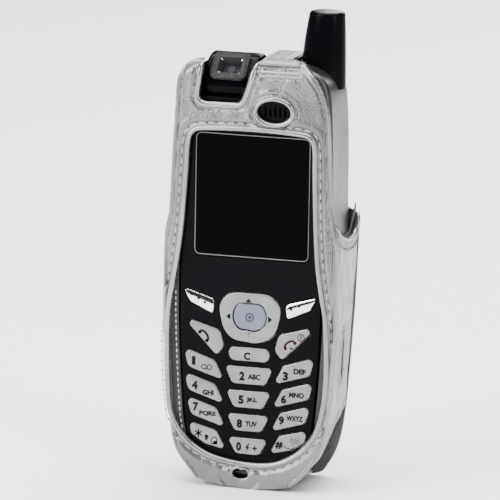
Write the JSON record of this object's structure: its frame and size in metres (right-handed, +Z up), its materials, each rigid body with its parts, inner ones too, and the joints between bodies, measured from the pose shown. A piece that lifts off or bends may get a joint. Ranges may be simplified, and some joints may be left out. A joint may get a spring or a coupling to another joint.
{
  "type": "mobile phone in a fitted case",
  "caption": "Candybar handset with keypad, colour display, swivel camera and stub antenna, held in a fitted leather case with a top strap.",
  "frame": {"origin": "middle of the bounding box's underside, on the plane of the case's flat bottom", "axes": "+Z up along the phone towards the antenna, +X to the right seen from the front, the screen and keys face -Y"},
  "size_m": [0.0489, 0.0248, 0.1245],
  "materials": {
    "silver_leather": "metallic silver, pebbled",
    "leather_binding": "metallic silver, smooth rolled edge",
    "black_lining": "black woven",
    "snap_metal": "polished",
    "gloss_black": "high gloss",
    "window": "clear smoked",
    "lens_glass": "coated",
    "silver_housing": "satin silver paint",
    "silver_keys": "satin metallised",
    "centre_tint": "satin, cool tint",
    "mirror_keys": "mirror plated",
    "silicone": "translucent silicone",
    "spring_steel": "stamped",
    "board_green": "solder mask",
    "module_grey": "moulded",
    "tungsten": "sintered",
    "brass": "turned"
  },
  "bodies": {
    "phone_in_case": {"antenna_coil": "brass", "antenna_stub": "gloss_black", "antenna_stud": "brass", "battery_pack": "silver_housing", "buzzer": "module_grey", "camera_cradle": "gloss_black", "camera_pins": "spring_steel", "case_back_panel": "silver_leather", "case_bottom_panel": "silver_leather", "case_front_panel": "silver_leather", "case_gusset_left": "silver_leather", "case_gusset_right": "silver_leather", "case_lining": "black_lining", "case_opening_binding": "leather_binding", "case_top_bindings": "leather_binding", "display_window": "window", "dome_sheet": "spring_steel", "earpiece_speaker": "module_grey", "face_plate": "gloss_black", "front_housing": "silver_housing", "housing_screws": "spring_steel", "io_connector": "module_grey", "keypad_mat": "silicone", "lcd_module": "module_grey", "main_pcb": "board_green", "microphone": "module_grey", "rear_housing": "silver_housing", "shield_cans": "spring_steel", "sim_holder": "spring_steel", "vibration_motor": "spring_steel"},
    "key_0": {"key_0": "silver_keys"},
    "key_1": {"key_1": "silver_keys"},
    "key_2": {"key_2": "silver_keys"},
    "key_3": {"key_3": "silver_keys"},
    "key_4": {"key_4": "silver_keys"},
    "key_5": {"key_5": "silver_keys"},
    "key_6": {"key_6": "silver_keys"},
    "key_7": {"key_7": "silver_keys"},
    "key_8": {"key_8": "silver_keys"},
    "key_9": {"key_9": "silver_keys"},
    "key_hash": {"key_hash": "silver_keys"},
    "key_star": {"key_star": "silver_keys"},
    "clear_key": {"clear_key": "silver_keys"},
    "call_key": {"call_key": "silver_keys"},
    "end_key": {"end_key": "silver_keys"},
    "soft_key_left": {"soft_key_left": "mirror_keys"},
    "soft_key_right": {"soft_key_right": "mirror_keys"},
    "centre_key": {"centre_key": "centre_tint"},
    "nav_gimbal": {"nav_gimbal": "spring_steel"},
    "nav_key": {"nav_key": "silver_keys"},
    "side_key": {"side_key": "silver_housing"},
    "volume_rocker": {"volume_rocker": "silver_housing"},
    "battery_latch": {"battery_latch": "silver_housing"},
    "camera": {"camera_barrel": "gloss_black", "camera_bezel": "gloss_black", "camera_lens": "lens_glass"},
    "top_strap": {"case_top_strap": "silver_leather", "case_snap_cap": "snap_metal"},
    "vibration_weight": {"vibration_weight": "tungsten"}
  },
  "joints": [
    {"name": "key_0_press", "type": "slide", "parent": "phone_in_case", "child": "key_0", "axis": [0, 1, 0], "range_m": [0, 0.0004], "stiffness_N_per_m": 1500},
    {"name": "key_1_press", "type": "slide", "parent": "phone_in_case", "child": "key_1", "axis": [0, 1, 0], "range_m": [0, 0.0004], "stiffness_N_per_m": 1500},
    {"name": "key_2_press", "type": "slide", "parent": "phone_in_case", "child": "key_2", "axis": [0, 1, 0], "range_m": [0, 0.0004], "stiffness_N_per_m": 1500},
    {"name": "key_3_press", "type": "slide", "parent": "phone_in_case", "child": "key_3", "axis": [0, 1, 0], "range_m": [0, 0.0004], "stiffness_N_per_m": 1500},
    {"name": "key_4_press", "type": "slide", "parent": "phone_in_case", "child": "key_4", "axis": [0, 1, 0], "range_m": [0, 0.0004], "stiffness_N_per_m": 1500},
    {"name": "key_5_press", "type": "slide", "parent": "phone_in_case", "child": "key_5", "axis": [0, 1, 0], "range_m": [0, 0.0004], "stiffness_N_per_m": 1500},
    {"name": "key_6_press", "type": "slide", "parent": "phone_in_case", "child": "key_6", "axis": [0, 1, 0], "range_m": [0, 0.0004], "stiffness_N_per_m": 1500},
    {"name": "key_7_press", "type": "slide", "parent": "phone_in_case", "child": "key_7", "axis": [0, 1, 0], "range_m": [0, 0.0004], "stiffness_N_per_m": 1500},
    {"name": "key_8_press", "type": "slide", "parent": "phone_in_case", "child": "key_8", "axis": [0, 1, 0], "range_m": [0, 0.0004], "stiffness_N_per_m": 1500},
    {"name": "key_9_press", "type": "slide", "parent": "phone_in_case", "child": "key_9", "axis": [0, 1, 0], "range_m": [0, 0.0004], "stiffness_N_per_m": 1500},
    {"name": "key_hash_press", "type": "slide", "parent": "phone_in_case", "child": "key_hash", "axis": [0, 1, 0], "range_m": [0, 0.0004], "stiffness_N_per_m": 1500},
    {"name": "key_star_press", "type": "slide", "parent": "phone_in_case", "child": "key_star", "axis": [0, 1, 0], "range_m": [0, 0.0004], "stiffness_N_per_m": 1500},
    {"name": "clear_key_press", "type": "slide", "parent": "phone_in_case", "child": "clear_key", "axis": [0, 1, 0], "range_m": [0, 0.0004], "stiffness_N_per_m": 1500},
    {"name": "call_key_press", "type": "slide", "parent": "phone_in_case", "child": "call_key", "axis": [0, 1, 0], "range_m": [0, 0.0004], "stiffness_N_per_m": 1500},
    {"name": "end_key_press", "type": "slide", "parent": "phone_in_case", "child": "end_key", "axis": [0, 1, 0], "range_m": [0, 0.0004], "stiffness_N_per_m": 1500},
    {"name": "soft_key_left_press", "type": "slide", "parent": "phone_in_case", "child": "soft_key_left", "axis": [0, 1, 0], "range_m": [0, 0.0004], "stiffness_N_per_m": 1500},
    {"name": "soft_key_right_press", "type": "slide", "parent": "phone_in_case", "child": "soft_key_right", "axis": [0, 1, 0], "range_m": [0, 0.0004], "stiffness_N_per_m": 1500},
    {"name": "centre_key_press", "type": "slide", "parent": "phone_in_case", "child": "centre_key", "axis": [0, 1, 0], "range_m": [0, 0.0004], "stiffness_N_per_m": 1500},
    {"name": "nav_up_down", "type": "hinge", "parent": "phone_in_case", "child": "nav_gimbal", "pos_m": [0, -0.0073, 0.0452], "axis": [1, 0, 0], "range_deg": [-2.1, 2.1], "stiffness_Nm_per_rad": 0.25},
    {"name": "nav_left_right", "type": "hinge", "parent": "nav_gimbal", "child": "nav_key", "pos_m": [0, -0.0073, 0.0452], "axis": [0, 0, 1], "range_deg": [-2.1, 2.1], "stiffness_Nm_per_rad": 0.25},
    {"name": "side_key_press", "type": "slide", "parent": "phone_in_case", "child": "side_key", "axis": [-1, 0, 0], "range_m": [0, 0.0004], "stiffness_N_per_m": 1500},
    {"name": "volume_rock", "type": "hinge", "parent": "phone_in_case", "child": "volume_rocker", "pos_m": [-0.0202, 0, 0.077], "axis": [0, 1, 0], "range_deg": [-2.2, 2.2], "stiffness_Nm_per_rad": 0.3},
    {"name": "battery_latch_slide", "type": "slide", "parent": "phone_in_case", "child": "battery_latch", "axis": [0, 0, 1], "range_m": [0, 0.0012], "stiffness_N_per_m": 500},
    {"name": "camera_swivel", "type": "hinge", "parent": "phone_in_case", "child": "camera", "pos_m": [-0.0076, 0, 0.1046], "axis": [-1, 0, 0], "range_deg": [-25, 138]},
    {"name": "strap_open", "type": "hinge", "parent": "phone_in_case", "child": "top_strap", "pos_m": [0.0049, -0.0101, 0.1125], "axis": [1, 0, 0], "range_deg": [0, 115]},
    {"name": "vibration_spin", "type": "hinge", "parent": "phone_in_case", "child": "vibration_weight", "pos_m": [-0.003, 0.002, 0.086], "axis": [1, 0, 0], "continuous": true}
  ]
}
